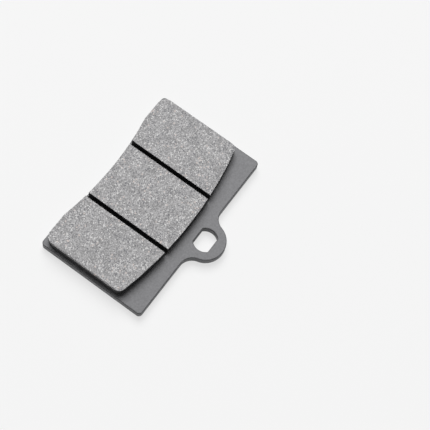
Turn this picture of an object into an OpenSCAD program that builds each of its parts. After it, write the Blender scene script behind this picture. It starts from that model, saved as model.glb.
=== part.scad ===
// Disc brake pad for a bicycle: a stamped steel backing plate with a tab for the
// retaining pin, and a grooved friction lining moulded onto it.
// X runs along the pad, the tab points to -Y and the friction face looks up.
// The origin is the middle of the plate's rectangle, on its back face.

/* [Backing plate] */
// Length of the plate, along the rotor
plate_length = 40; // [34:0.5:48]
// Width of the plate, without its tab
plate_width = 24; // [20:0.1:30]
// Thickness of the plate
plate_thickness = 1.9; // [1.4:0.1:3]
// Radius of the plate's four outer corners
plate_corner = 0.8; // [0.6:0.1:2]
// Edge break that the stamping and the coating leave all round
edge_break = 0.15; // [0.1:0.05:0.35]
// Straight land at each end of the hub side, beside the shallow curve
land_length = 7; // [4:0.1:9]
// Depth of the shallow curve in the hub side
hub_curve_depth = 1.25; // [0.6:0.05:2]

/* [Tab and pin hole] */
// Radius of the tab's round end
tab_radius = 4.2; // [3.6:0.1:5.5]
// Distance of the pin hole's centre outside the plate's long edge
pin_offset = 1; // [0.4:0.1:2.5]
// Radius of the fillets between the tab and the long edge
tab_fillet = 2.9; // [1.5:0.1:4]
// Diameter of the pin hole, at its round sides
pin_hole_diameter = 4.9; // [4:0.1:5.6]
// Width of the pin hole, across its two flats
pin_hole_flats = 3.6; // [2.8:0.1:3.9]

/* [Retention holes] */
// Diameter of the four holes that the lining is moulded through, at the back
plug_diameter = 7; // [5:0.1:8.4]
// Diameter of those holes at the front, so that they taper and lock the lining
plug_front_diameter = 6.4; // [4.4:0.1:6.6]
// Distance between the holes, along the pad
plug_spacing_x = 20; // [15:0.5:24]
// Distance between the holes, across the pad
plug_spacing_y = 9.9; // [9:0.1:10.1]
// Depth of each plug's end below the back face
plug_recess = 0.8; // [0.2:0.1:1.1]

/* [Friction lining] */
// Thickness of the lining above the plate
lining_thickness = 2; // [0.8:0.1:3]
// Plate left bare at each end of the lining
end_margin = 0.65; // [0.5:0.05:2]
// Plate left bare along the hub side of the lining
hub_margin = 0.4; // [0.35:0.05:1.2]
// Plate left bare between the lining and the tab side, at mid length
tab_margin = 3.1; // [1:0.05:3.2]
// Radius of the rotor track's outer edge, which the tab side follows
track_radius = 80; // [70:1:105]
// Radius of the lining's two corners on the hub side
hub_corner = 2; // [0.8:0.1:3]
// Radius of the lining's two corners on the tab side
tab_corner = 1.5; // [0.8:0.1:2.5]
// Chamfer on the leading and the trailing end
lead_chamfer = 0.2; // [0.1:0.05:0.7]

/* [Grooves] */
// Width of the two grooves across the friction face
groove_width = 0.9; // [0.6:0.1:1.5]
// Distance of each groove's middle from the middle of the pad
groove_offset = 7.05; // [5:0.05:9]
// Lining left under the grooves
groove_floor = 0.3; // [0.1:0.1:0.6]

/* [Hidden] */
$fn = 96;

// Cutters run past the faces that they cut by this much
over = 1;
// Two arcs that flow into each other cross by this much, instead of just touching
arc_cross = 0.01;

half_length = plate_length / 2;
half_width = plate_width / 2;
face_height = plate_thickness + lining_thickness;

// The hub curve is an arc through the ends of both lands
hub_chord = half_length - land_length;
hub_radius = (hub_chord * hub_chord + hub_curve_depth * hub_curve_depth) / (2 * hub_curve_depth);
hub_centre_y = half_width - hub_curve_depth + hub_radius;

// The tab's circle shares its centre with the pin hole, and a fillet circle on
// each side meets both the tab's circle and the long edge
pin_y = -half_width - pin_offset;
fillet_y = -half_width - tab_fillet;
fillet_reach = tab_radius + tab_fillet - arc_cross;
fillet_x = sqrt(fillet_reach * fillet_reach - pow(pin_y - fillet_y, 2));
fillet_share = tab_radius / fillet_reach;
touch_x = fillet_x * fillet_share;
touch_y = pin_y + (fillet_y - pin_y) * fillet_share;

// The retention holes and the plugs in them share one taper
plug_radius = plug_diameter / 2;
plug_front_radius = plug_front_diameter / 2;
plug_taper = (plug_radius - plug_front_radius) / (plate_thickness - edge_break);
plug_end_radius = plug_radius - plug_taper * (plug_recess - edge_break);

// Outline of the lining
lining_end = half_length - end_margin;
lining_hub_y = half_width - hub_margin;
track_y = -half_width + tab_margin + track_radius;
hub_corner_x = lining_end - hub_corner;
hub_corner_y = lining_hub_y - hub_corner;
tab_corner_x = lining_end - tab_corner;
tab_corner_reach = track_radius - tab_corner + arc_cross;
tab_corner_y = track_y - sqrt(tab_corner_reach * tab_corner_reach - tab_corner_x * tab_corner_x);
tab_corner_out = [tab_corner_x, tab_corner_y - track_y] / tab_corner_reach;

// Section through a plate of a given width, with its four edges broken
function broken_section(width) = let (w = width / 2, e = edge_break, t = plate_thickness)
    [[-w + e, 0], [w - e, 0], [w, e], [w, t - e], [w - e, t], [-w + e, t], [-w, t - e], [-w, e]];

// Bar of plate along X, with broken edges along both sides
module plate_bar(length, width) {
    rotate([90, 0, 90])
        linear_extrude(length, center = true)
            polygon(broken_section(width));
}

// Disc of plate with broken rims
module plate_disc(radius) {
    rotate_extrude()
        intersection() {
            polygon(broken_section(2 * radius));
            square([radius, plate_thickness]);
        }
}

// Section that cuts an inside edge of the plate: straight, and flared at both faces
function flared_section(reach) =
    let (flare = reach + edge_break + over, e = edge_break, t = plate_thickness)
    [[0, -over], [flare, -over], [reach, e], [reach, t - e], [flare, t + over], [0, t + over]];

module round_cutter(radius) {
    rotate_extrude()
        polygon(flared_section(radius));
}

module slot_cutter(length, width) {
    rotate([90, 0, 90])
        linear_extrude(length, center = true)
            for (side = [0, 1]) mirror([side, 0])
                polygon(flared_section(width / 2));
}

// Retention hole: flared at the back face, then tapered towards the front
module plug_cutter() {
    flare = plug_radius + edge_break + over;
    top = plate_thickness + over;
    rotate_extrude()
        polygon([[0, -over], [flare, -over], [plug_radius, edge_break],
                 [plug_front_radius, plate_thickness], [plug_front_radius, top], [0, top]]);
}

// Lining compound that fills a retention hole, up to its recessed end
module plug() {
    rotate_extrude()
        polygon([[0, plug_recess], [plug_end_radius, plug_recess],
                 [plug_front_radius, plate_thickness], [0, plate_thickness]]);
}

module pin_hole_cutter() {
    translate([0, pin_y, 0])
        intersection() {
            round_cutter(pin_hole_diameter / 2);
            slot_cutter(2 * pin_hole_diameter, pin_hole_flats);
        }
}

module at_plugs() {
    for (x = [-1, 1], y = [-1, 1])
        translate([x * plug_spacing_x / 2, y * plug_spacing_y / 2, 0]) children();
}

// Metal that joins the tab to the plate, up to where the fillets touch
module tab_neck() {
    linear_extrude(plate_thickness)
        polygon([[-fillet_x, -half_width + edge_break], [-fillet_x, -half_width],
                 [-touch_x, touch_y], [0, pin_y], [touch_x, touch_y],
                 [fillet_x, -half_width], [fillet_x, -half_width + edge_break]]);
}

module plate_blank() {
    plate_bar(plate_length - 2 * plate_corner, plate_width);
    rotate([0, 0, 90])
        plate_bar(plate_width - 2 * plate_corner, plate_length);
    for (x = [-1, 1], y = [-1, 1])
        translate([x * (half_length - plate_corner), y * (half_width - plate_corner), 0])
            plate_disc(plate_corner);
    translate([0, pin_y, 0])
        plate_disc(tab_radius);
    tab_neck();
}

module backing_plate() {
    color([0.20, 0.20, 0.21])
        difference() {
            plate_blank();
            translate([0, hub_centre_y, 0])
                round_cutter(hub_radius);
            for (x = [-1, 1])
                translate([x * fillet_x, fillet_y, 0])
                    round_cutter(tab_fillet);
            pin_hole_cutter();
            at_plugs()
                plug_cutter();
        }
}

// Waste outside one rounded corner, between its two outward directions
module corner_waste(centre, radius, out_a, out_b) {
    reach = 2 * radius;
    difference() {
        polygon([centre, centre + reach * out_a,
                 centre + reach * (out_a + out_b), centre + reach * out_b]);
        translate(centre)
            circle(radius);
    }
}

module lining_outline() {
    difference() {
        intersection() {
            translate([-lining_end, -half_width])
                square([2 * lining_end, half_width + lining_hub_y]);
            translate([0, track_y])
                circle(track_radius, $fn = 4 * $fn);
        }
        translate([0, hub_centre_y])
            circle(hub_radius + hub_margin, $fn = 4 * $fn);
        for (side = [0, 1]) mirror([side, 0]) {
            corner_waste([hub_corner_x, hub_corner_y], hub_corner, [1, 0], [0, 1]);
            corner_waste([tab_corner_x, tab_corner_y], tab_corner, [1, 0], tab_corner_out);
        }
    }
}

// Wedge that takes the chamfer off one end of the lining
module lead_wedge() {
    rotate([90, 0, 0])
        linear_extrude(2 * plate_width, center = true)
            polygon([[lining_end - lead_chamfer - over, face_height + over],
                     [lining_end + over, face_height + over],
                     [lining_end + over, face_height - lead_chamfer - over]]);
}

module groove_cutter() {
    floor_height = plate_thickness + groove_floor;
    translate([groove_offset - groove_width / 2, -plate_width, floor_height])
        cube([groove_width, 2 * plate_width, lining_thickness + over]);
}

module friction_lining() {
    color([0.42, 0.42, 0.43]) {
        difference() {
            translate([0, 0, plate_thickness])
                linear_extrude(lining_thickness)
                    lining_outline();
            for (side = [0, 1]) mirror([side, 0, 0]) {
                lead_wedge();
                groove_cutter();
            }
        }
        at_plugs()
            plug();
    }
}

backing_plate();
friction_lining();
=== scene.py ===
import math
from types import SimpleNamespace

import bmesh
import bpy
from mathutils import Euler, Matrix, Vector, noise


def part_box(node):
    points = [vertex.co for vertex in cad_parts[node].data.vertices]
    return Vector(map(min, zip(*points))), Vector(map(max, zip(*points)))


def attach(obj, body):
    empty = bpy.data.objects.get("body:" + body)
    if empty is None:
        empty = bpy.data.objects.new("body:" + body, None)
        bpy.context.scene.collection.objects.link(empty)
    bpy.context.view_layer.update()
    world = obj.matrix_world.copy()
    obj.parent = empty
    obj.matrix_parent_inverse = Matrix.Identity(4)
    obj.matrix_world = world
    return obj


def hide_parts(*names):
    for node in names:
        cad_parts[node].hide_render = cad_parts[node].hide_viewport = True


bl_info = {
    "name": "Bicycle disc brake pad",
    "version": (1, 0, 0),
    "blender": (4, 5, 0),
    "location": "3D View > Sidebar > Brake Pad",
    "description": "Builds a disc brake pad with a coated backing plate and a grooved lining",
    "category": "Object",
}

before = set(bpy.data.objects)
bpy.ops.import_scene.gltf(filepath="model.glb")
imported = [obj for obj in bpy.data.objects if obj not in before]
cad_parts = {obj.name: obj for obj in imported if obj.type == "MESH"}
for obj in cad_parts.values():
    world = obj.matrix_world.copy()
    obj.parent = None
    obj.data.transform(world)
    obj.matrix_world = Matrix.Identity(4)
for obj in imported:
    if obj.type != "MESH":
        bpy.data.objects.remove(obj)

MM = 0.001

PLATE_LOW, PLATE_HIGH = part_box("backing_plate")
LINING_LOW, LINING_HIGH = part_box("friction_lining")

# Vertices closer than this, in millimetres, are one vertex
MERGE = 1e-3
# A vertex closer than this to a cutting plane, in millimetres, lies on it
ON_PLANE = 1e-4
# Height differences below this, in millimetres, count as level
LEVEL = 1e-3
# Strip left beside a rounded edge, in millimetres, so that the face next to it shades flat
SUPPORT = 0.06
# Start of the random waves that the worn edge follows
CRUMBLE_SEED = 5

# The camera's place in millimetres, and its turn in degrees
CAMERA_PLACE = (-77.01, -45.856, 232.182)
CAMERA_TURN = (20.6263, -5.0109, -54.2650)
# Focal length and sensor width of the camera, in millimetres
CAMERA_LENS = 104.6
CAMERA_SENSOR = 36.0
# Nearest and farthest distance that the camera sees, in metres
CAMERA_NEAR = 0.01
CAMERA_FAR = 20.0

# Places and widths of the square lamps, in metres
KEY_PLACE = (0.88, 0.74, 1.64)
KEY_WIDTH = 1.5
FILL_PLACE = (-1.4, 0.5, 1.2)
FILL_WIDTH = 1.6
# Half the width of the floor, in metres, and its depth below the pad
FLOOR_REACH = 3.0
FLOOR_DROP = 0.01 * MM

# Columns and rows of a node tree's layout
NODE_COLUMN = 230
NODE_ROW = 210
# Places of a colour mix's sockets: three inputs and the output
MIX_SHARE, MIX_FIRST, MIX_SECOND, MIX_RESULT = 0, 6, 7, 2


# Settings


class BrakePadPlate(bpy.types.PropertyGroup):
    """Sizes of the stamped backing plate"""

    length: bpy.props.FloatProperty(
        name="Length", description="Length of the plate along the disc's track",
        default=PLATE_HIGH.x - PLATE_LOW.x, min=0.0, precision=5, subtype="DISTANCE", unit="LENGTH")
    width: bpy.props.FloatProperty(
        name="Width", description="Width of the plate without its tab",
        default=2 * PLATE_HIGH.y, min=0.0, precision=5, subtype="DISTANCE", unit="LENGTH")
    thickness: bpy.props.FloatProperty(
        name="Thickness", description="Thickness of the plate",
        default=PLATE_HIGH.z, min=0.0, precision=5, subtype="DISTANCE", unit="LENGTH")
    corner: bpy.props.FloatProperty(
        name="Corner radius", description="Radius of the plate's four outer corners",
        default=0.8 * MM, min=0.0, precision=5, subtype="DISTANCE", unit="LENGTH")
    rounding: bpy.props.FloatProperty(
        name="Edge rounding", description="Width of the rounding along every edge of the plate",
        default=0.15 * MM, min=0.0, precision=5, subtype="DISTANCE", unit="LENGTH")
    land: bpy.props.FloatProperty(
        name="Land", description="Straight land at each end of the hub side",
        default=7.0 * MM, min=0.0, precision=5, subtype="DISTANCE", unit="LENGTH")
    hub_depth: bpy.props.FloatProperty(
        name="Hub curve depth", description="Depth of the shallow curve in the hub side",
        default=1.25 * MM, min=0.0, precision=5, subtype="DISTANCE", unit="LENGTH")
    tab_radius: bpy.props.FloatProperty(
        name="Tab radius", description="Radius of the tab's round end",
        default=4.2 * MM, min=0.0, precision=5, subtype="DISTANCE", unit="LENGTH")
    tab_fillet: bpy.props.FloatProperty(
        name="Tab fillet", description="Radius of the fillets between the tab and the long edge",
        default=2.9 * MM, min=0.0, precision=5, subtype="DISTANCE", unit="LENGTH")
    pin_diameter: bpy.props.FloatProperty(
        name="Pin hole diameter", description="Diameter of the pin hole at its round sides",
        default=4.9 * MM, min=0.0, precision=5, subtype="DISTANCE", unit="LENGTH")
    pin_flats: bpy.props.FloatProperty(
        name="Pin hole flats", description="Width of the pin hole across its two flats",
        default=3.6 * MM, min=0.0, precision=5, subtype="DISTANCE", unit="LENGTH")
    plug_diameter: bpy.props.FloatProperty(
        name="Retention hole", description="Diameter at the back of the four holes the lining fills",
        default=7.0 * MM, min=0.0, precision=5, subtype="DISTANCE", unit="LENGTH")
    plug_front: bpy.props.FloatProperty(
        name="Retention hole front", description="Diameter of the tapered holes at the front",
        default=6.4 * MM, min=0.0, precision=5, subtype="DISTANCE", unit="LENGTH")
    plug_spacing_x: bpy.props.FloatProperty(
        name="Hole spacing along", description="Distance between the holes along the pad",
        default=20.0 * MM, min=0.0, precision=5, subtype="DISTANCE", unit="LENGTH")
    plug_spacing_y: bpy.props.FloatProperty(
        name="Hole spacing across", description="Distance between the holes across the pad",
        default=9.9 * MM, min=0.0, precision=5, subtype="DISTANCE", unit="LENGTH")
    plug_recess: bpy.props.FloatProperty(
        name="Plug recess", description="Depth of each plug's end below the back face",
        default=LINING_LOW.z, min=0.0, precision=5, subtype="DISTANCE", unit="LENGTH")


class BrakePadLining(bpy.types.PropertyGroup):
    """Sizes of the friction lining"""

    thickness: bpy.props.FloatProperty(
        name="Thickness", description="Thickness of the lining above the plate",
        default=LINING_HIGH.z - PLATE_HIGH.z, min=0.0, precision=5, subtype="DISTANCE", unit="LENGTH")
    end_margin: bpy.props.FloatProperty(
        name="End margin", description="Plate left bare at each end of the lining",
        default=PLATE_HIGH.x - LINING_HIGH.x, min=0.0, precision=5, subtype="DISTANCE", unit="LENGTH")
    hub_margin: bpy.props.FloatProperty(
        name="Hub margin", description="Plate left bare along the hub side of the lining",
        default=PLATE_HIGH.y - LINING_HIGH.y, min=0.0, precision=5, subtype="DISTANCE", unit="LENGTH")
    tab_margin: bpy.props.FloatProperty(
        name="Tab margin", description="Plate left bare on the tab side, at mid length",
        default=LINING_LOW.y + PLATE_HIGH.y, min=0.0, precision=5, subtype="DISTANCE", unit="LENGTH")
    track_radius: bpy.props.FloatProperty(
        name="Track radius", description="Radius of the lining's tab side",
        default=80.0 * MM, min=0.0, precision=5, subtype="DISTANCE", unit="LENGTH")
    hub_corner: bpy.props.FloatProperty(
        name="Hub corner radius", description="Radius of the lining's two corners on the hub side",
        default=2.0 * MM, min=0.0, precision=5, subtype="DISTANCE", unit="LENGTH")
    tab_corner: bpy.props.FloatProperty(
        name="Tab corner radius", description="Radius of the lining's two corners on the tab side",
        default=1.5 * MM, min=0.0, precision=5, subtype="DISTANCE", unit="LENGTH")
    chamfer: bpy.props.FloatProperty(
        name="End chamfer", description="Chamfer on the leading and the trailing end",
        default=0.2 * MM, min=0.0, precision=5, subtype="DISTANCE", unit="LENGTH")
    groove_width: bpy.props.FloatProperty(
        name="Groove width", description="Width of the two grooves across the friction face",
        default=0.9 * MM, min=0.0, precision=5, subtype="DISTANCE", unit="LENGTH")
    groove_offset: bpy.props.FloatProperty(
        name="Groove offset", description="Distance of each groove from the middle of the pad",
        default=7.05 * MM, min=0.0, precision=5, subtype="DISTANCE", unit="LENGTH")
    groove_floor: bpy.props.FloatProperty(
        name="Groove floor", description="Lining left under the grooves",
        default=0.3 * MM, min=0.0, precision=5, subtype="DISTANCE", unit="LENGTH")
    edge_wear: bpy.props.FloatProperty(
        name="Edge wear", description="Width of the worn edge round the friction face",
        default=0.05 * MM, min=0.0, precision=5, subtype="DISTANCE", unit="LENGTH")
    edge_crumble: bpy.props.FloatProperty(
        name="Edge crumble", description="How far the worn edge wanders",
        default=0.02 * MM, min=0.0, precision=5, subtype="DISTANCE", unit="LENGTH")


class BrakePadFinish(bpy.types.PropertyGroup):
    """Colours and grain sizes of the finishes"""

    coat: bpy.props.FloatVectorProperty(
        name="Coat", description="Dark grey of the powder coat",
        default=(0.17, 0.17, 0.177), min=0.0, max=1.0, size=3, subtype="COLOR")
    coat_grain: bpy.props.FloatProperty(
        name="Coat grain", description="Size of the fine texture of the powder coat",
        default=0.35 * MM, min=0.0, precision=5, subtype="DISTANCE", unit="LENGTH")
    compound: bpy.props.FloatVectorProperty(
        name="Compound", description="Grey of the ground friction face",
        default=(0.33, 0.326, 0.33), min=0.0, max=1.0, size=3, subtype="COLOR")
    compound_grain: bpy.props.FloatProperty(
        name="Compound grain", description="Size of the grains in the friction compound",
        default=0.2 * MM, min=0.0, precision=5, subtype="DISTANCE", unit="LENGTH")
    pale_grain: bpy.props.FloatVectorProperty(
        name="Pale grain", description="Mineral grains in the compound",
        default=(0.66, 0.655, 0.65), min=0.0, max=1.0, size=3, subtype="COLOR")
    dark_grain: bpy.props.FloatVectorProperty(
        name="Dark grain", description="Graphite grains in the compound",
        default=(0.14, 0.142, 0.155), min=0.0, max=1.0, size=3, subtype="COLOR")
    copper_grain: bpy.props.FloatVectorProperty(
        name="Copper grain", description="Copper chips in the compound",
        default=(0.57, 0.51, 0.485), min=0.0, max=1.0, size=3, subtype="COLOR")
    skin: bpy.props.FloatVectorProperty(
        name="Moulded skin", description="Dark skin on the sides and in the grooves of the lining",
        default=(0.025, 0.025, 0.026), min=0.0, max=1.0, size=3, subtype="COLOR")


class BrakePadStage(bpy.types.PropertyGroup):
    """Floor and light"""

    floor: bpy.props.FloatVectorProperty(
        name="Floor", description="Pale colour of the floor and the background",
        default=(0.913, 0.913, 0.913), min=0.0, max=1.0, size=3, subtype="COLOR")
    evenness: bpy.props.FloatProperty(
        name="Evenness", description="How much of the floor's shadow the pale background takes away",
        default=0.75, min=0.0, max=1.0, subtype="FACTOR")
    key_power: bpy.props.FloatProperty(
        name="Key lamp", description="Power of the large soft lamp behind the pad",
        default=55.0, min=0.0, subtype="POWER", unit="POWER")
    fill_power: bpy.props.FloatProperty(
        name="Fill lamp", description="Power of the soft lamp on the other side",
        default=1.0, min=0.0, subtype="POWER", unit="POWER")
    sky: bpy.props.FloatProperty(
        name="Sky", description="Strength of the even light from all round",
        default=0.03, min=0.0, max=1.0, subtype="FACTOR")


def in_mm(group):
    """The lengths of a settings group in millimetres, the unit that meshes are shaped in"""
    names = type(group).__annotations__
    return SimpleNamespace(**{name: getattr(group, name) / MM for name in names})


def unique(items):
    """Each item once, in the order in which they first appear"""
    return list(dict.fromkeys(items))


# Outlines


class Outline:
    """A closed outline, drawn by extruding and spinning one vertex"""

    # A straight edge is also cut this close to its ends, in millimetres
    tuck = 0.3

    def __init__(self, bm, x, y, z):
        self.bm = bm
        self.old = set(bm.verts)
        self.tip = bm.verts.new((x, y, z))

    def step(self, place):
        """Straight edge to a place"""
        self.tip = bmesh.ops.extrude_vert_indiv(self.bm, verts=[self.tip])["verts"][0]
        self.tip.co = place

    def line(self, x, y, pitch=None):
        """Straight edge, cut at a pitch, or else once close to each end"""
        start = self.tip.co.copy()
        run = Vector((x, y, start.z)) - start
        if pitch:
            count = max(1, round(run.length / pitch))
            shares = [i / count for i in range(1, count + 1)]
        else:
            share = min(self.tuck / run.length, 1 / 3)
            shares = [share, 1 - share, 1]
        for share in shares:
            self.step(start + run * share)

    def arc(self, x, y, degrees, steps):
        """Arc round a centre, anticlockwise where degrees is positive"""
        spun = bmesh.ops.spin(
            self.bm, geom=[self.tip], cent=(x, y, self.tip.co.z), axis=(0, 0, 1),
            dvec=(0, 0, 0), angle=math.radians(degrees), steps=steps,
            use_duplicate=False, use_merge=False, use_normal_flip=False)
        self.tip = spun["geom_last"][0]

    def close(self):
        """Joins the last vertex to the first and returns the face inside"""
        mine = [v for v in self.bm.verts if v not in self.old]
        bmesh.ops.remove_doubles(self.bm, verts=mine, dist=MERGE)
        mine = [v for v in self.bm.verts if v not in self.old]
        edges = unique(e for v in mine for e in v.link_edges)
        face = bmesh.ops.contextual_create(self.bm, geom=edges)["faces"][0]
        face.normal_update()
        if face.normal.z < 0:
            face.normal_flip()
        return face


def angle_of(x, y):
    """Direction of a vector in degrees"""
    return math.degrees(math.atan2(y, x))


def hub_curve(plate):
    """Radius and centre height of the shallow curve in the hub side"""
    chord = plate.length / 2 - plate.land
    radius = (chord ** 2 + plate.hub_depth ** 2) / (2 * plate.hub_depth)
    return radius, plate.width / 2 - plate.hub_depth + radius


def plate_outline(bm, plate):
    """Face with the plate's outline at height 0, without its holes"""
    corner_steps, hub_steps, fillet_steps, tab_steps = 12, 40, 20, 44
    end, side, corner = plate.length / 2, plate.width / 2, plate.corner
    radius, centre = hub_curve(plate)
    chord = end - plate.land
    pin_y = PLATE_LOW.y / MM + plate.tab_radius
    fillet_y = -side - plate.tab_fillet
    fillet_x = math.sqrt((plate.tab_radius + plate.tab_fillet) ** 2 - (pin_y - fillet_y) ** 2)
    rise = angle_of(fillet_x, pin_y - fillet_y)
    hub_turn = 2 * math.degrees(math.asin(chord / radius))

    line = Outline(bm, end, -side + corner, 0)
    line.line(end, side - corner)
    line.arc(end - corner, side - corner, 90, corner_steps)
    line.line(chord, side)
    line.arc(0, centre, -hub_turn, hub_steps)
    line.line(-end + corner, side)
    line.arc(-end + corner, side - corner, 90, corner_steps)
    line.line(-end, -side + corner)
    line.arc(-end + corner, -side + corner, 90, corner_steps)
    line.line(-fillet_x, -side)
    line.arc(-fillet_x, fillet_y, rise - 90, fillet_steps)
    line.arc(0, pin_y, 180 - 2 * rise, tab_steps)
    line.arc(fillet_x, fillet_y, rise - 90, fillet_steps)
    line.line(end - corner, -side)
    line.arc(end - corner, -side + corner, 90, corner_steps)
    return line.close()


def pin_hole_outline(bm, plate, z, grow):
    """Face with the pin hole's outline, grown all round"""
    pin_y = PLATE_LOW.y / MM + plate.tab_radius
    radius = plate.pin_diameter / 2 + grow
    flat = plate.pin_flats / 2 + grow
    reach = math.sqrt(radius ** 2 - flat ** 2)
    turn, steps = 2 * angle_of(reach, flat), 24
    line = Outline(bm, reach, pin_y - flat, z)
    line.arc(0, pin_y, turn, steps)
    line.line(-reach, pin_y + flat)
    line.arc(0, pin_y, turn, steps)
    line.line(reach, pin_y - flat)
    return line.close()


def plug_places(plate):
    """Middles of the four retention holes"""
    return [(x * plate.plug_spacing_x / 2, y * plate.plug_spacing_y / 2)
            for x in (-1, 1) for y in (-1, 1)]


def plug_radius(plate, z):
    """Radius of the tapered retention holes, and of the plugs in them, at a height"""
    front = plate.plug_front / 2
    taper = (plate.plug_diameter / 2 - front) / (plate.thickness - plate.rounding)
    return front + taper * (plate.thickness - z)


def round_outline(bm, x, y, z, radius, steps=64):
    """Round face"""
    line = Outline(bm, x + radius, y, z)
    line.arc(x, y, 360, steps)
    return line.close()


def lining_outline(bm, plate, lining, z):
    """Face with the lining's outline"""
    pitch = 0.45
    hub_corner_steps, tab_corner_steps, hub_steps, track_steps = 14, 12, 62, 80
    end = plate.length / 2 - lining.end_margin
    hub = plate.width / 2 - lining.hub_margin
    radius, centre = hub_curve(plate)
    radius += lining.hub_margin
    chord = math.sqrt(radius ** 2 - (centre - hub) ** 2)
    hub_turn = 2 * math.degrees(math.asin(chord / radius))
    track_y = lining.tab_margin - plate.width / 2 + lining.track_radius
    hub_x, hub_y = end - lining.hub_corner, hub - lining.hub_corner
    corner_x = end - lining.tab_corner
    corner_y = track_y - math.sqrt((lining.track_radius - lining.tab_corner) ** 2 - corner_x ** 2)
    lean = angle_of(track_y - corner_y, corner_x)

    line = Outline(bm, end, corner_y, z)
    line.line(end, hub_y, pitch)
    line.arc(hub_x, hub_y, 90, hub_corner_steps)
    line.line(chord, hub, pitch)
    line.arc(0, centre, -hub_turn, hub_steps)
    line.line(-hub_x, hub, pitch)
    line.arc(-hub_x, hub_y, 90, hub_corner_steps)
    line.line(-end, corner_y, pitch)
    line.arc(-corner_x, corner_y, 90 - lean, tab_corner_steps)
    line.arc(0, track_y, 2 * lean, track_steps)
    line.arc(corner_x, corner_y, 90 - lean, tab_corner_steps)
    return line.close()


# Shaping


def lift(bm, face, height):
    """Makes a face a block by pushing a copy of it up or down"""
    pushed = bmesh.ops.extrude_face_region(bm, geom=[face])["geom"]
    verts = [g for g in pushed if isinstance(g, bmesh.types.BMVert)]
    bmesh.ops.translate(bm, verts=verts, vec=(0, 0, height))
    bmesh.ops.recalc_face_normals(bm, faces=bm.faces[:])
    return next(g for g in pushed if isinstance(g, bmesh.types.BMFace))


def at_height(item, z):
    """Whether an edge or a face lies level at a height"""
    return all(abs(v.co.z - z) < LEVEL for v in item.verts)


def round_off(bm, edges, width, segments):
    """Rounds edges"""
    bmesh.ops.bevel(
        bm, geom=edges, offset=width, offset_type="OFFSET", segments=segments, profile=0.5,
        affect="EDGES", material=-1, clamp_overlap=False, loop_slide=True)


def open_rim(bm, face, width):
    """Turns a face into a ring of faces and returns the edges of the opening"""
    bmesh.ops.inset_region(
        bm, faces=[face], thickness=width, use_boundary=True, use_even_offset=True)
    opening = list(face.edges)
    bmesh.ops.delete(bm, geom=[face], context="FACES_ONLY")
    return opening


def join_rims(bm, rims):
    """Makes the wall of a hole between its two rims"""
    wall = bmesh.ops.bridge_loops(bm, edges=rims[0] + rims[1])["faces"]
    around = [f for rim in rims for e in rim for f in e.link_faces]
    bmesh.ops.recalc_face_normals(bm, faces=unique(around + wall))


def fill_level(bm, z, facing):
    """Fills what is open at one height, round the openings in it"""
    rims = [e for e in bm.edges if e.is_boundary and at_height(e, z)]
    made = bmesh.ops.triangle_fill(
        bm, edges=rims, use_beauty=True, use_dissolve=False, normal=(0, 0, facing))["geom"]
    for face in (g for g in made if isinstance(g, bmesh.types.BMFace)):
        face.normal_update()
        if face.normal.z * facing < 0:
            face.normal_flip()


def crisp_edges(bm, degrees):
    """Marks the edges that turn by more than an angle as sharp"""
    limit = math.radians(degrees)
    for face in bm.faces:
        face.smooth = True
    for edge in bm.edges:
        edge.smooth = edge.calc_face_angle(0) < limit


def make_piece(bm, name, replaced, materials):
    """Makes the finished mesh an object that rides on the pad and stands at the origin"""
    bmesh.ops.scale(bm, verts=bm.verts[:], vec=(MM, MM, MM))
    mesh = bpy.data.meshes.new(name)
    bm.to_mesh(mesh)
    bm.free()
    for material in materials:
        mesh.materials.append(material)
    piece = bpy.data.objects.new(name, mesh)
    bpy.context.scene.collection.objects.link(piece)
    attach(piece, "root")
    if replaced:
        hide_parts(replaced)
    return piece


def shape_plate(plate):
    """The stamped plate: rounded outer edges, a pin hole and four retention holes"""
    segments, crisp = 3, 40
    # Rounded edges and tapered walls are the faces whose normals rise by a share between these; they
    # take a darker copy of the coat, painted shade where these faces turn away from the light
    steepest, flattest = 0.1, 0.99
    bm = bmesh.new()
    lift(bm, plate_outline(bm, plate), plate.thickness)
    levels = (0, plate.thickness)
    rims = [e for e in bm.edges if any(at_height(e, z) for z in levels)]
    round_off(bm, rims, plate.rounding, segments)
    for z in levels:
        cap = max((f for f in bm.faces if at_height(f, z)), key=lambda f: f.calc_area())
        open_rim(bm, cap, SUPPORT)

    margin = plate.rounding + SUPPORT
    rims = []
    for z in levels:
        rims.append(open_rim(bm, pin_hole_outline(bm, plate, z, margin), margin))
    join_rims(bm, rims)
    round_off(bm, rims[0] + rims[1], plate.rounding, segments)
    for x, y in plug_places(plate):
        rims = []
        for z in levels:
            face = round_outline(bm, x, y, z, plug_radius(plate, z) + margin)
            rims.append(open_rim(bm, face, margin))
        join_rims(bm, rims)
        round_off(bm, rims[0], plate.rounding, segments)
    fill_level(bm, 0, -1)
    fill_level(bm, plate.thickness, 1)
    bmesh.ops.recalc_face_normals(bm, faces=bm.faces[:])
    # Rounded edges and tapered hole walls get the second coat, a darker copy: painted shade
    for face in bm.faces:
        face.material_index = int(steepest < abs(face.normal.z) < flattest)
    crisp_edges(bm, crisp)
    return bm


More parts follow.
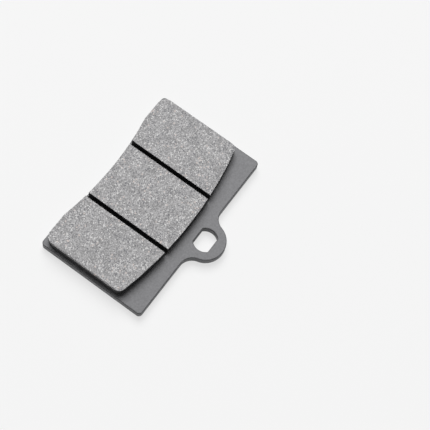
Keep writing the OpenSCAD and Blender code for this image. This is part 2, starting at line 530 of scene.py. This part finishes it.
def cut_groove(bm, lining, middle, floor, top):
    """Sinks one groove across the lining, open at both sides"""
    half = lining.groove_width / 2
    for x in (middle - half, middle + half):
        bmesh.ops.bisect_plane(
            bm, geom=bm.verts[:] + bm.edges[:] + bm.faces[:], dist=ON_PLANE,
            plane_co=(x, 0, 0), plane_no=(1, 0, 0))

    def over_groove():
        return [f for f in bm.faces if abs(f.calc_center_median().x - middle) < half - LEVEL]

    strip = over_groove()
    parts = strip + [e for f in strip for e in f.edges] + [v for f in strip for v in f.verts]
    bmesh.ops.bisect_plane(
        bm, geom=unique(parts), dist=ON_PLANE, plane_co=(0, 0, floor), plane_no=(0, 0, 1))
    lid = next(f for f in over_groove() if at_height(f, top))
    pushed = bmesh.ops.extrude_face_region(bm, geom=[lid])["geom"]
    verts = [g for g in pushed if isinstance(g, bmesh.types.BMVert)]
    bmesh.ops.translate(bm, verts=verts, vec=(0, 0, floor - top))
    ends = [f for f in over_groove() if f.calc_center_median().z > floor + LEVEL]
    bmesh.ops.delete(bm, geom=ends, context="FACES")
    bmesh.ops.remove_doubles(bm, verts=bm.verts[:], dist=MERGE)


def chamfer_end(bm, side, end, chamfer, top):
    """Cuts the chamfer off one end of the lining"""
    cut = bmesh.ops.bisect_plane(
        bm, geom=bm.verts[:] + bm.edges[:] + bm.faces[:], dist=ON_PLANE,
        plane_co=(side * (end - chamfer), 0, top), plane_no=(side, 0, 1), clear_outer=True)
    rim = [g for g in cut["geom_cut"] if isinstance(g, bmesh.types.BMEdge)]
    bmesh.ops.contextual_create(bm, geom=rim)


def crumble(bm, lining, top):
    """Lets the worn edge of the friction face wander a little"""
    least_turn = math.radians(20)
    # Frequencies of the two waves, per millimetre, and the share of the finer one
    waves, ripples, ripple_share = 2.1, 5.3, 0.6
    # Without a seed, noise_vector starts from the clock and each run differs
    noise.seed_set(CRUMBLE_SEED)
    for vert in bm.verts:
        depth = top - vert.co.z
        turns = any(e.calc_face_angle(0) > least_turn for e in vert.link_edges)
        if not turns or depth > lining.chamfer + lining.edge_wear:
            continue
        drift = noise.noise_vector(vert.co * waves)
        drift += ripple_share * noise.noise_vector(vert.co * ripples)
        drift.z = 0 if depth < LEVEL else -abs(drift.z)
        vert.co += drift * lining.edge_crumble


def shape_lining(plate, lining):
    """The moulded lining: three faces between two grooves, and plugs through the plate"""
    ground, skin = 0, 1
    segments, crisp = 2, 30
    # Straight edges longer than this, in millimetres, are cut, so that they can wander
    long_edge, cuts = 5, 40
    # The ground surface is what faces up by more than this share
    upward = 0.3
    foot, top = plate.thickness, plate.thickness + lining.thickness
    floor = foot + lining.groove_floor
    end = plate.length / 2 - lining.end_margin
    bm = bmesh.new()
    lift(bm, lining_outline(bm, plate, lining, foot), lining.thickness)
    for side in (-1, 1):
        chamfer_end(bm, side, end, lining.chamfer, top)
    for side in (-1, 1):
        cut_groove(bm, lining, side * lining.groove_offset, floor, top)

    bm.normal_update()
    faces = [f for f in bm.faces if at_height(f, top)]
    long_edges = [e for f in faces for e in f.edges if e.calc_length() > long_edge]
    bmesh.ops.bisect_edges(bm, edges=unique(long_edges), cuts=cuts)
    faces = [f for f in bm.faces if at_height(f, top)]
    worn = [e for f in faces for e in f.edges
            if all(abs(abs(v.co.x) - (end - lining.chamfer)) > LEVEL for v in e.verts)]
    round_off(bm, unique(worn), lining.edge_wear, segments)
    bmesh.ops.remove_doubles(bm, verts=bm.verts[:], dist=MERGE)
    faces = [f for f in bm.faces if at_height(f, top)]
    bmesh.ops.inset_individual(bm, faces=faces, thickness=SUPPORT, use_even_offset=True)
    bm.normal_update()
    crumble(bm, lining, top)

    for face in bm.faces:
        is_ground = (face.calc_center_median().z > top - lining.chamfer
                     and face.normal.z > upward)
        face.material_index = ground if is_ground else skin

    base = [f for f in bm.faces if at_height(f, foot)]
    bmesh.ops.delete(bm, geom=base, context="FACES_ONLY")
    seams = [e for e in bm.edges if e.is_wire]
    bmesh.ops.delete(bm, geom=seams, context="EDGES")
    widen = plug_radius(plate, plate.plug_recess) / plug_radius(plate, foot)
    for x, y in plug_places(plate):
        face = round_outline(bm, x, y, foot, plug_radius(plate, foot))
        pushed = bmesh.ops.extrude_face_region(bm, geom=[face])["geom"]
        verts = [g for g in pushed if isinstance(g, bmesh.types.BMVert)]
        bmesh.ops.translate(bm, verts=verts, vec=(0, 0, plate.plug_recess - foot))
        bmesh.ops.scale(bm, verts=verts, vec=(widen, widen, 1),
                        space=Matrix.Translation((-x, -y, 0)))
        bmesh.ops.delete(bm, geom=[face], context="FACES_ONLY")
    old = set(bm.faces)
    fill_level(bm, foot, -1)
    for face in bm.faces:
        if face not in old or face.calc_center_median().z < foot - LEVEL:
            face.material_index = skin
    bmesh.ops.recalc_face_normals(bm, faces=bm.faces[:])
    crisp_edges(bm, crisp)
    return bm


def from_hole_middle(plate, place):
    """Distance of a place from the middle of the nearest retention hole, seen from above"""
    return min(math.hypot(place.x - x, place.y - y) for x, y in plug_places(plate))


def shape_plug_ends(plate):
    """The coated ends of the four plugs: shallow, a little rough, with the coat drawn up the wall,
    and a ring of painted shade round the edge of each
    """
    film, pitch, steps, crisp = 0.04, 0.3, 64, 50
    # Shares of the radius: the flat middle, its rough part, and where the dark ring of painted shade
    # starts, at the edge of each recess's floor
    flat_share, rough_share, painted_shade_share = 0.93, 0.95, 0.94
    # Shares of the radius, and how far towards the back the coat has climbed there
    climb = ((0.965, 0.02), (0.985, 0.06), (0.996, 0.12), (1.0, 0.2))
    waves, roughness, swell = 1.3, 0.03, 0.01
    on_face, on_painted_shade_ring = 0, 1
    outer = plate.plug_recess - film
    radius = plug_radius(plate, plate.plug_recess)
    bm = bmesh.new()
    for x, y in plug_places(plate):
        old = set(bm.verts)
        line = Outline(bm, x, y, outer)
        line.line(x + radius * flat_share, y, pitch)
        for share, rise in climb:
            reach = plug_radius(plate, outer - rise) * share
            line.step(Vector((x + reach, y, outer - rise)))
        line.step(Vector((x + radius, y, plate.plug_recess)))
        line.step(Vector((x, y, plate.plug_recess)))
        mine = [v for v in bm.verts if v not in old]
        chain = unique(e for v in mine for e in v.link_edges)
        bmesh.ops.spin(
            bm, geom=mine + chain, cent=(x, y, 0), axis=(0, 0, 1), dvec=(0, 0, 0),
            angle=math.tau, steps=steps, use_duplicate=False, use_merge=True,
            use_normal_flip=False)
    bmesh.ops.remove_doubles(bm, verts=bm.verts[:], dist=MERGE)
    for vert in bm.verts:
        outside = vert.co.z < plate.plug_recess - film / 2
        if outside and from_hole_middle(plate, vert.co) < radius * rough_share:
            vert.co.z += roughness * noise.noise(vert.co * waves) - swell
    bmesh.ops.recalc_face_normals(bm, faces=bm.faces[:])
    # Faces near the rim of each plug end take the much darker coat: a ring of painted shade
    for face in bm.faces:
        reach = from_hole_middle(plate, face.calc_center_median())
        face.material_index = on_painted_shade_ring if reach > radius * painted_shade_share else on_face
    crisp_edges(bm, crisp)
    return bm


# Finishes


def add_node(tree, kind, column, row, **values):
    """A shader node on a grid, with values for its own inputs"""
    made = tree.nodes.new(kind)
    made.location = (column * NODE_COLUMN, -row * NODE_ROW)
    for name, value in values.items():
        made.inputs[name.replace("_", " ")].default_value = value
    return made


def add_math(tree, operation, column, row, first=None, second=None):
    """A sum with numbers, with values for the inputs that nothing is joined to"""
    made = add_node(tree, "ShaderNodeMath", column, row)
    made.operation = operation
    for socket, value in zip(made.inputs, (first, second)):
        if value is not None:
            socket.default_value = value
    return made


def join(tree, source, output, target, socket):
    """Joins an output to an input, each given by its name or its place"""
    tree.links.new(source.outputs[output], target.inputs[socket])


def add_mix(tree, column, row, kind="MIX", share=None, first=None, second=None):
    """A mix of two colours"""
    made = add_node(tree, "ShaderNodeMix", column, row)
    made.data_type = "RGBA"
    made.blend_type = kind
    for place, value in ((MIX_SHARE, share), (MIX_FIRST, first), (MIX_SECOND, second)):
        if value is not None:
            made.inputs[place].default_value = value
    return made


def opaque(colour, gain=1.0):
    """A colour made lighter or darker, with full alpha"""
    return (*(min(1.0, c * gain) for c in colour), 1.0)


def new_group(name, inputs, outputs):
    """A shader node group with named float inputs after its vector"""
    group = bpy.data.node_groups.new(name, "ShaderNodeTree")
    group.interface.new_socket("Vector", in_out="INPUT", socket_type="NodeSocketVector")
    for title, default in inputs:
        socket = group.interface.new_socket(title, in_out="INPUT", socket_type="NodeSocketFloat")
        socket.default_value = default
    for title in outputs:
        group.interface.new_socket(title, in_out="OUTPUT", socket_type="NodeSocketFloat")
    return group


def shared_group(name, build):
    """A node group that is built once"""
    return bpy.data.node_groups.get(name) or build(name)


def build_grain(name):
    """Even grain of one size: a value round a half, for colour, roughness or height"""
    group = new_group(name, (("Size", 0.001), ("Contrast", 1.0), ("Shift", 0.0)), ("Value",))
    source = add_node(group, "NodeGroupInput", 0, 0)
    result = add_node(group, "NodeGroupOutput", 6, 0)
    scale = add_math(group, "DIVIDE", 1, 1, first=1.0)
    moved = add_node(group, "ShaderNodeVectorMath", 1, 0)
    texture = add_node(group, "ShaderNodeTexNoise", 2, 0, Detail=2.0, Roughness=0.55)
    centred = add_math(group, "SUBTRACT", 3, 0, second=0.5)
    spread = add_math(group, "MULTIPLY", 4, 0)
    value = add_math(group, "ADD", 5, 0, second=0.5)
    value.use_clamp = True
    join(group, source, "Vector", moved, 0)
    join(group, source, "Shift", moved, 1)
    join(group, source, "Size", scale, 1)
    join(group, moved, "Vector", texture, "Vector")
    join(group, scale, "Value", texture, "Scale")
    join(group, texture, "Fac", centred, 0)
    join(group, centred, "Value", spread, 0)
    join(group, source, "Contrast", spread, 1)
    join(group, spread, "Value", value, 0)
    join(group, value, "Value", result, "Value")
    return group


def build_flecks(name):
    """Scattered flecks of one size: a mask that covers about the given share of the surface"""
    group = new_group(name, (("Size", 0.001), ("Share", 0.1), ("Shift", 0.0)), ("Mask",))
    source = add_node(group, "NodeGroupInput", 0, 0)
    result = add_node(group, "NodeGroupOutput", 7, 0)
    scale = add_math(group, "DIVIDE", 1, 1, first=1.0)
    moved = add_node(group, "ShaderNodeVectorMath", 1, 0)
    cells = add_node(group, "ShaderNodeTexVoronoi", 2, 0)
    parts = add_node(group, "ShaderNodeSeparateColor", 3, 0)
    wide = add_math(group, "MULTIPLY", 2, 2, second=0.12)
    clusters = add_node(group, "ShaderNodeTexNoise", 3, 2, Detail=1.0)
    crowding = add_node(group, "ShaderNodeMapRange", 4, 2)
    for title, value in (("From Min", 0.38), ("From Max", 0.62), ("To Min", 0.3), ("To Max", 1.7)):
        crowding.inputs[title].default_value = value
    share = add_math(group, "MULTIPLY", 5, 2)
    limit = add_math(group, "SUBTRACT", 3, 1, first=1.0)
    chosen = add_math(group, "GREATER_THAN", 4, 0)
    body = add_node(group, "ShaderNodeMapRange", 4, 1)
    body.inputs["From Min"].default_value = 0.75
    body.inputs["From Max"].default_value = 0.45
    mask = add_math(group, "MULTIPLY", 5, 0)
    join(group, source, "Vector", moved, 0)
    join(group, source, "Shift", moved, 1)
    join(group, source, "Size", scale, 1)
    join(group, scale, "Value", wide, 0)
    join(group, moved, "Vector", clusters, "Vector")
    join(group, wide, "Value", clusters, "Scale")
    join(group, clusters, "Fac", crowding, "Value")
    join(group, crowding, "Result", share, 0)
    join(group, source, "Share", share, 1)
    join(group, share, "Value", limit, 1)
    join(group, moved, "Vector", cells, "Vector")
    join(group, scale, "Value", cells, "Scale")
    join(group, cells, "Color", parts, "Color")
    join(group, parts, "Red", chosen, 0)
    join(group, limit, "Value", chosen, 1)
    join(group, cells, "Distance", body, "Value")
    join(group, chosen, "Value", mask, 0)
    join(group, body, "Result", mask, 1)
    join(group, mask, "Value", result, "Mask")
    return group


def add_effect(tree, title, build, column, row, coordinates, **values):
    """One use of a shared effect in a material, with its own values"""
    made = add_node(tree, "ShaderNodeGroup", column, row)
    made.node_tree = shared_group(title, build)
    for name, value in values.items():
        made.inputs[name].default_value = value
    join(tree, coordinates, "Object", made, "Vector")
    return made


def add_grain(tree, column, row, coordinates, **values):
    return add_effect(tree, "surface grain", build_grain, column, row, coordinates, **values)


def add_flecks(tree, column, row, coordinates, **values):
    return add_effect(tree, "particle flecks", build_flecks, column, row, coordinates, **values)


def start_material(name):
    """An empty material with its coordinates, shader and output"""
    material = bpy.data.materials.new(name)
    material.use_nodes = True
    tree = material.node_tree
    tree.nodes.clear()
    coordinates = add_node(tree, "ShaderNodeTexCoord", 0, 0)
    shader = add_node(tree, "ShaderNodeBsdfPrincipled", 8, 0)
    output = add_node(tree, "ShaderNodeOutputMaterial", 9, 0)
    join(tree, shader, "BSDF", output, "Surface")
    return material, tree, coordinates, shader


def add_relief(tree, shader, grain, depth):
    """Small relief of a grain's shape and of a depth in metres"""
    relief = add_node(tree, "ShaderNodeBump", 7, 2, Strength=1.0, Distance=depth)
    join(tree, grain, "Value", relief, "Height")
    join(tree, relief, "Normal", shader, "Normal")


def add_range(tree, column, row, source, low, high):
    """Spreads a grain's value from 0 to 1 over another range"""
    made = add_node(tree, "ShaderNodeMapRange", column, row)
    made.inputs["To Min"].default_value = low
    made.inputs["To Max"].default_value = high
    join(tree, source, "Value", made, "Value")
    return made


def powder_coat(finish, name="powder_coat", depth=0.012 * MM, speckle=0.2, tone=1.0):
    """Satin dark grey coat with the fine uneven skin of baked powder"""
    material, tree, coordinates, shader = start_material(name)
    mottling = 0.08
    gloss = 0.35
    shader.inputs["IOR"].default_value = 1.5
    # A tone below 1 makes a darker copy of the coat, colour and gloss alike: painted shade on the
    # plate's rounded edges and in the ring round each plug end
    shader.inputs["Specular IOR Level"].default_value = gloss * tone
    size = finish.coat_grain
    skin = add_grain(tree, 1, 0, coordinates, Size=size, Contrast=1.6)
    patches = add_grain(tree, 1, 1, coordinates, Size=5 * size, Contrast=1.5, Shift=0.3)
    shades = add_mix(tree, 3, 0, first=opaque(finish.coat, (1 - mottling) * tone),
                     second=opaque(finish.coat, (1 + mottling) * tone))
    shade = add_mix(tree, 4, 0, kind="MULTIPLY", share=1.0)
    speck = add_range(tree, 2, 2, skin, low=1 - speckle, high=1 + speckle)
    dullness = add_range(tree, 6, 1, patches, low=0.5, high=0.6)
    join(tree, patches, "Value", shades, MIX_SHARE)
    join(tree, shades, MIX_RESULT, shade, MIX_FIRST)
    join(tree, speck, "Result", shade, MIX_SECOND)
    join(tree, shade, MIX_RESULT, shader, "Base Color")
    join(tree, dullness, "Result", shader, "Roughness")
    add_relief(tree, shader, skin, depth)
    return material


def ground_compound(finish):
    """Ground friction face: grey binder with pale, dark and a few copper grains"""
    material, tree, coordinates, shader = start_material("ground_compound")
    darkest, lightest, clouding = 0.52, 1.46, 0.12
    size = finish.compound_grain
    fine = add_grain(tree, 1, 0, coordinates, Size=size, Contrast=3.8)
    clouds = add_grain(tree, 1, 1, coordinates, Size=10 * size, Contrast=2.8, Shift=0.2)
    pale = add_flecks(tree, 1, 2, coordinates, Size=1.2 * size, Share=0.14, Shift=0.4)
    dark = add_flecks(tree, 1, 3, coordinates, Size=1.1 * size, Share=0.11, Shift=0.6)
    copper = add_flecks(tree, 1, 4, coordinates, Size=1.6 * size, Share=0.03, Shift=0.8)
    binder = add_mix(tree, 2, 0, first=opaque(finish.compound, darkest),
                     second=opaque(finish.compound, lightest))
    cloudy = add_mix(tree, 3, 0, kind="MULTIPLY", share=1.0)
    cloud_range = add_range(tree, 2, 1, clouds, low=1 - clouding, high=1 + clouding)
    with_pale = add_mix(tree, 4, 0, second=opaque(finish.pale_grain))
    with_dark = add_mix(tree, 5, 0, second=opaque(finish.dark_grain))
    with_copper = add_mix(tree, 6, 0, second=opaque(finish.copper_grain))
    dullness = add_range(tree, 6, 1, fine, low=0.62, high=0.85)
    join(tree, fine, "Value", binder, MIX_SHARE)
    join(tree, binder, MIX_RESULT, cloudy, MIX_FIRST)
    join(tree, cloud_range, "Result", cloudy, MIX_SECOND)
    join(tree, cloudy, MIX_RESULT, with_pale, MIX_FIRST)
    join(tree, pale, "Mask", with_pale, MIX_SHARE)
    join(tree, with_pale, MIX_RESULT, with_dark, MIX_FIRST)
    join(tree, dark, "Mask", with_dark, MIX_SHARE)
    join(tree, with_dark, MIX_RESULT, with_copper, MIX_FIRST)
    join(tree, copper, "Mask", with_copper, MIX_SHARE)
    join(tree, with_copper, MIX_RESULT, shader, "Base Color")
    join(tree, dullness, "Result", shader, "Roughness")
    add_relief(tree, shader, fine, depth=0.02 * MM)
    return material


def moulded_skin(finish):
    """Dark skin that the mould leaves on the sides of the lining"""
    material, tree, coordinates, shader = start_material("moulded_skin")
    shader.inputs["Specular IOR Level"].default_value = 0.15
    darkest, lightest, grain_strength = 0.75, 1.25, 0.25
    size = finish.compound_grain
    fine = add_grain(tree, 1, 0, coordinates, Size=1.5 * size, Contrast=1.6, Shift=0.1)
    grains = add_flecks(tree, 1, 1, coordinates, Size=1.5 * size, Share=0.08, Shift=0.5)
    tone = add_mix(tree, 3, 0, first=opaque(finish.skin, darkest),
                   second=opaque(finish.skin, lightest))
    share = add_math(tree, "MULTIPLY", 3, 1, second=grain_strength)
    speckled = add_mix(tree, 4, 0, second=opaque(finish.dark_grain))
    dullness = add_range(tree, 6, 1, fine, low=0.6, high=0.8)
    join(tree, fine, "Value", tone, MIX_SHARE)
    join(tree, grains, "Mask", share, 0)
    join(tree, share, "Value", speckled, MIX_SHARE)
    join(tree, tone, MIX_RESULT, speckled, MIX_FIRST)
    join(tree, speckled, MIX_RESULT, shader, "Base Color")
    join(tree, dullness, "Result", shader, "Roughness")
    add_relief(tree, shader, fine, depth=0.03 * MM)
    return material


def add_seen_directly(tree, column, row):
    """1 for the rays that show a background: camera, glossy and transmission rays"""
    rays = add_node(tree, "ShaderNodeLightPath", column, row)
    first = add_math(tree, "MAXIMUM", column + 1, row)
    either = add_math(tree, "MAXIMUM", column + 2, row)
    join(tree, rays, "Is Camera Ray", first, 0)
    join(tree, rays, "Is Glossy Ray", first, 1)
    join(tree, first, "Value", either, 0)
    join(tree, rays, "Is Transmission Ray", either, 1)
    return either


def floor_paint(stage):
    """Pale floor that keeps a light shadow"""
    material, tree, _, shader = start_material("floor_paint")
    shader.inputs["Base Color"].default_value = opaque(stage.floor)
    shader.inputs["Roughness"].default_value = 0.9
    shader.inputs["Specular IOR Level"].default_value = 0.1
    output = tree.nodes["Material Output"]
    glow = add_node(tree, "ShaderNodeEmission", 8, 2, Color=opaque(stage.floor), Strength=1.0)
    share = add_math(tree, "MULTIPLY", 7, 1, second=stage.evenness)
    blend = add_node(tree, "ShaderNodeMixShader", 9, 1)
    join(tree, add_seen_directly(tree, 4, 1), "Value", share, 0)
    join(tree, share, "Value", blend, 0)
    join(tree, shader, "BSDF", blend, 1)
    join(tree, glow, "Emission", blend, 2)
    join(tree, blend, "Shader", output, "Surface")
    return material


# Operators


class BRAKEPAD_OT_camera(bpy.types.Operator):
    """Place the camera above the pad, at the photograph's viewing angle"""

    bl_idname = "brakepad.camera"
    bl_label = "Place camera"

    def execute(self, context):
        view = bpy.data.cameras.new("camera")
        view.sensor_width = CAMERA_SENSOR
        view.lens = CAMERA_LENS
        view.clip_start = CAMERA_NEAR
        view.clip_end = CAMERA_FAR
        camera = bpy.data.objects.new("camera", view)
        camera.location = Vector(CAMERA_PLACE) * MM
        camera.rotation_euler = Euler([math.radians(a) for a in CAMERA_TURN], "XYZ")
        context.scene.collection.objects.link(camera)
        context.scene.camera = camera
        return {"FINISHED"}


class BRAKEPAD_OT_backing_plate(bpy.types.Operator):
    """Make the coated steel backing plate with its tab and its holes"""

    bl_idname = "brakepad.backing_plate"
    bl_label = "Make backing plate"

    def execute(self, context):
        plate = in_mm(context.scene.brakepad_plate)
        finish = context.scene.brakepad_finish
        # The second coat is a darker copy of the first: painted shade on the rounded edges and the
        # tapered hole walls
        coats = [powder_coat(finish), powder_coat(finish, "powder_coat_painted_edge_shade", tone=0.68)]
        make_piece(shape_plate(plate), "coated_plate", "backing_plate", coats)
        return {"FINISHED"}


class BRAKEPAD_OT_friction_lining(bpy.types.Operator):
    """Make the grooved friction lining with its plugs"""

    bl_idname = "brakepad.friction_lining"
    bl_label = "Make friction lining"

    def execute(self, context):
        plate = in_mm(context.scene.brakepad_plate)
        lining = in_mm(context.scene.brakepad_lining)
        finish = context.scene.brakepad_finish
        make_piece(shape_lining(plate, lining), "grooved_lining",
                   "friction_lining", [ground_compound(finish), moulded_skin(finish)])
        return {"FINISHED"}


class BRAKEPAD_OT_plug_ends(bpy.types.Operator):
    """Coat the four plug ends in the back of the plate"""

    bl_idname = "brakepad.plug_ends"
    bl_label = "Coat plug ends"

    def execute(self, context):
        plate = in_mm(context.scene.brakepad_plate)
        finish = context.scene.brakepad_finish
        # The second coat is a much darker copy: painted shade in the ring round each plug end
        coats = [
            powder_coat(finish, "powder_coat_on_compound", depth=0.03 * MM, speckle=0.3),
            powder_coat(finish, "powder_coat_painted_shade_round_plugs", tone=0.3),
        ]
        make_piece(shape_plug_ends(plate), "coated_plug_ends", None, coats)
        return {"FINISHED"}


class BRAKEPAD_OT_stage(bpy.types.Operator):
    """Lay the pale floor and set the soft lamps"""

    bl_idname = "brakepad.stage"
    bl_label = "Set stage"

    def execute(self, context):
        stage = context.scene.brakepad_stage
        bm = bmesh.new()
        bmesh.ops.create_grid(bm, x_segments=1, y_segments=1, size=FLOOR_REACH)
        bmesh.ops.translate(bm, verts=bm.verts[:], vec=(0, 0, -FLOOR_DROP))
        mesh = bpy.data.meshes.new("floor")
        bm.to_mesh(mesh)
        bm.free()
        mesh.materials.append(floor_paint(stage))
        floor = bpy.data.objects.new("floor", mesh)
        context.scene.collection.objects.link(floor)

        self.add_lamp(context, "key_lamp", KEY_PLACE, KEY_WIDTH, stage.key_power)
        self.add_lamp(context, "fill_lamp", FILL_PLACE, FILL_WIDTH, stage.fill_power)

        world = bpy.data.worlds.new("pale_room")
        world.use_nodes = True
        tree = world.node_tree
        tree.nodes.clear()
        seen = add_node(tree, "ShaderNodeBackground", 2, 0, Color=opaque(stage.floor), Strength=1.0)
        even = add_node(tree, "ShaderNodeBackground", 2, 1, Color=(1, 1, 1, 1), Strength=stage.sky)
        choice = add_node(tree, "ShaderNodeMixShader", 3, 0)
        output = add_node(tree, "ShaderNodeOutputWorld", 4, 0)
        join(tree, add_seen_directly(tree, 0, 2), "Value", choice, 0)
        join(tree, even, "Background", choice, 1)
        join(tree, seen, "Background", choice, 2)
        join(tree, choice, "Shader", output, "Surface")
        context.scene.world = world
        context.scene.view_settings.view_transform = "Standard"
        return {"FINISHED"}

    def add_lamp(self, context, name, place, width, power):
        """Square soft lamp that faces the pad"""
        data = bpy.data.lights.new(name, "AREA")
        data.shape = "SQUARE"
        data.size = width
        data.energy = power
        lamp = bpy.data.objects.new(name, data)
        lamp.location = place
        lamp.rotation_euler = Vector(place).to_track_quat("Z", "Y").to_euler()
        context.scene.collection.objects.link(lamp)


class BRAKEPAD_PT_panel(bpy.types.Panel):
    """Settings and pieces of the brake pad"""

    bl_idname = "BRAKEPAD_PT_panel"
    bl_label = "Brake Pad"
    bl_space_type = "VIEW_3D"
    bl_region_type = "UI"
    bl_category = "Brake Pad"

    def draw(self, context):
        layout = self.layout
        for operator in OPERATORS:
            layout.operator(operator.bl_idname)
        for title, name, kind in SETTINGS:
            box = layout.box()
            box.label(text=title)
            for setting in kind.__annotations__:
                box.prop(getattr(context.scene, name), setting)


SETTINGS = (
    ("Backing plate", "brakepad_plate", BrakePadPlate),
    ("Friction lining", "brakepad_lining", BrakePadLining),
    ("Finish", "brakepad_finish", BrakePadFinish),
    ("Stage", "brakepad_stage", BrakePadStage),
)
OPERATORS = (
    BRAKEPAD_OT_camera,
    BRAKEPAD_OT_backing_plate,
    BRAKEPAD_OT_friction_lining,
    BRAKEPAD_OT_plug_ends,
    BRAKEPAD_OT_stage,
)


def register():
    for title, name, kind in SETTINGS:
        bpy.utils.register_class(kind)
        setattr(bpy.types.Scene, name, bpy.props.PointerProperty(type=kind))
    for kind in OPERATORS + (BRAKEPAD_PT_panel,):
        bpy.utils.register_class(kind)


def unregister():
    for kind in (BRAKEPAD_PT_panel,) + OPERATORS[::-1]:
        bpy.utils.unregister_class(kind)
    for title, name, kind in SETTINGS[::-1]:
        delattr(bpy.types.Scene, name)
        bpy.utils.unregister_class(kind)


def main():
    """Registers the add-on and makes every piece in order"""
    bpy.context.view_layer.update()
    register()
    bpy.ops.brakepad.camera()
    bpy.ops.brakepad.backing_plate()
    bpy.ops.brakepad.friction_lining()
    bpy.ops.brakepad.plug_ends()
    bpy.ops.brakepad.stage()


if __name__ == "__main__":
    main()
